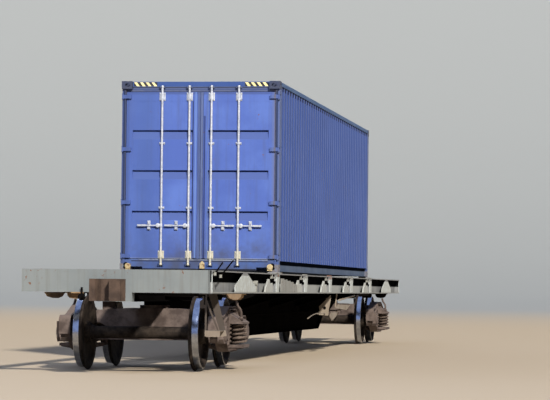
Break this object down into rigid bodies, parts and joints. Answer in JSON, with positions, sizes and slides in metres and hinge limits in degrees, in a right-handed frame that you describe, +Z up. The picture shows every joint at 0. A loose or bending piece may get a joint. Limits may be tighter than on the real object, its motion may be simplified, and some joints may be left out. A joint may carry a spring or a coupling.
{
  "type": "container flatcar with a forty-foot high-cube container",
  "caption": "Long bogie container flatcar carrying one blue high-cube container with hinged rear doors, lock bars, swivelling three-piece bogies and rolling wheelsets.",
  "frame": {"origin": "middle of the wagon on the track centre line, at the lowest point of the wheel flanges", "axes": "+X along the wagon away from the container doors, +Y to the left of that, +Z up"},
  "size_m": [25.8, 2.56, 4.257],
  "materials": {
    "frame_paint": "weathered grey paint with road dust",
    "end_paint": "light grey paint, dusty",
    "bogie_cast_steel": "rusty brown cast steel under brake dust",
    "coupler_cast_steel": "dark rusty cast steel",
    "spring_steel": "dark coil springs under brown dust",
    "wheel_steel": "rolled steel, treads worn bright",
    "container_paint": "mid blue container enamel, slightly chalked",
    "container_side_paint": "the same blue on the sides and rails",
    "zinc_plated_steel": "zinc-coated bars and handles, dull",
    "floor_board": "oiled plywood boards"
  },
  "bodies": {
    "wagon": {"air_reservoir": "frame_paint", "body_bolster_far_left": "frame_paint", "body_bolster_far_right": "frame_paint", "body_bolster_near_left": "frame_paint", "body_bolster_near_right": "frame_paint", "brake_cylinder": "frame_paint", "centre_spine": "frame_paint", "container_base": "container_side_paint", "container_door_frame": "container_paint", "container_floor": "floor_board", "container_front_frame": "container_paint", "container_front_wall": "container_paint", "container_roof": "container_paint", "container_side_wall_left": "container_side_paint", "container_side_wall_right": "container_side_paint", "container_top_rail_left": "container_side_paint", "container_top_rail_right": "container_side_paint", "coupler_far": "coupler_cast_steel", "coupler_near": "coupler_cast_steel", "end_beam_far": "end_paint", "end_beam_near": "end_paint", "side_sill_left": "frame_paint", "side_sill_right": "frame_paint"},
    "bogie_near": {"bogie_near_axle_box_inner_left": "bogie_cast_steel", "bogie_near_axle_box_inner_right": "bogie_cast_steel", "bogie_near_axle_box_outer_left": "bogie_cast_steel", "bogie_near_axle_box_outer_right": "bogie_cast_steel", "bogie_near_bolster": "bogie_cast_steel", "bogie_near_brake_beam_inner": "bogie_cast_steel", "bogie_near_brake_beam_outer": "bogie_cast_steel", "bogie_near_side_frame_left": "bogie_cast_steel", "bogie_near_side_frame_right": "bogie_cast_steel", "bogie_near_springs_left": "spring_steel", "bogie_near_springs_right": "spring_steel"},
    "bogie_far": {"bogie_far_axle_box_inner_left": "bogie_cast_steel", "bogie_far_axle_box_inner_right": "bogie_cast_steel", "bogie_far_axle_box_outer_left": "bogie_cast_steel", "bogie_far_axle_box_outer_right": "bogie_cast_steel", "bogie_far_bolster": "bogie_cast_steel", "bogie_far_brake_beam_inner": "bogie_cast_steel", "bogie_far_brake_beam_outer": "bogie_cast_steel", "bogie_far_side_frame_left": "bogie_cast_steel", "bogie_far_side_frame_right": "bogie_cast_steel", "bogie_far_springs_left": "spring_steel", "bogie_far_springs_right": "spring_steel"},
    "wheelset_near_outer": {"wheelset_near_outer": "wheel_steel"},
    "wheelset_near_inner": {"wheelset_near_inner": "wheel_steel"},
    "wheelset_far_outer": {"wheelset_far_outer": "wheel_steel"},
    "wheelset_far_inner": {"wheelset_far_inner": "wheel_steel"},
    "door_left": {"door_leaf_left": "container_paint", "lock_bar_1": "zinc_plated_steel", "lock_bar_2": "zinc_plated_steel"},
    "door_right": {"door_leaf_right": "container_paint", "lock_bar_3": "zinc_plated_steel", "lock_bar_4": "zinc_plated_steel"}
  },
  "joints": [
    {"name": "bogie_near_swivel", "type": "hinge", "parent": "wagon", "child": "bogie_near", "pos_m": [-9.5, 0, 0.845], "axis": [0, 0, 1], "range_deg": [-7, 7]},
    {"name": "wheelset_near_outer_roll", "type": "hinge", "parent": "bogie_near", "child": "wheelset_near_outer", "pos_m": [-10.425, 0, 0.5065], "axis": [0, 1, 0], "continuous": true},
    {"name": "wheelset_near_inner_roll", "type": "hinge", "parent": "bogie_near", "child": "wheelset_near_inner", "pos_m": [-8.575, 0, 0.5065], "axis": [0, 1, 0], "continuous": true},
    {"name": "bogie_far_swivel", "type": "hinge", "parent": "wagon", "child": "bogie_far", "pos_m": [9.5, 0, 0.845], "axis": [0, 0, 1], "range_deg": [-7, 7]},
    {"name": "wheelset_far_outer_roll", "type": "hinge", "parent": "bogie_far", "child": "wheelset_far_outer", "pos_m": [10.425, 0, 0.5065], "axis": [0, 1, 0], "continuous": true},
    {"name": "wheelset_far_inner_roll", "type": "hinge", "parent": "bogie_far", "child": "wheelset_far_inner", "pos_m": [8.575, 0, 0.5065], "axis": [0, 1, 0], "continuous": true},
    {"name": "door_left_hinge", "type": "hinge", "parent": "wagon", "child": "door_left", "pos_m": [-6.08, 1.203, 1.559], "axis": [0, 0, -1], "range_deg": [0, 260]},
    {"name": "door_right_hinge", "type": "hinge", "parent": "wagon", "child": "door_right", "pos_m": [-6.08, -1.203, 1.559], "axis": [0, 0, 1], "range_deg": [0, 260]}
  ]
}
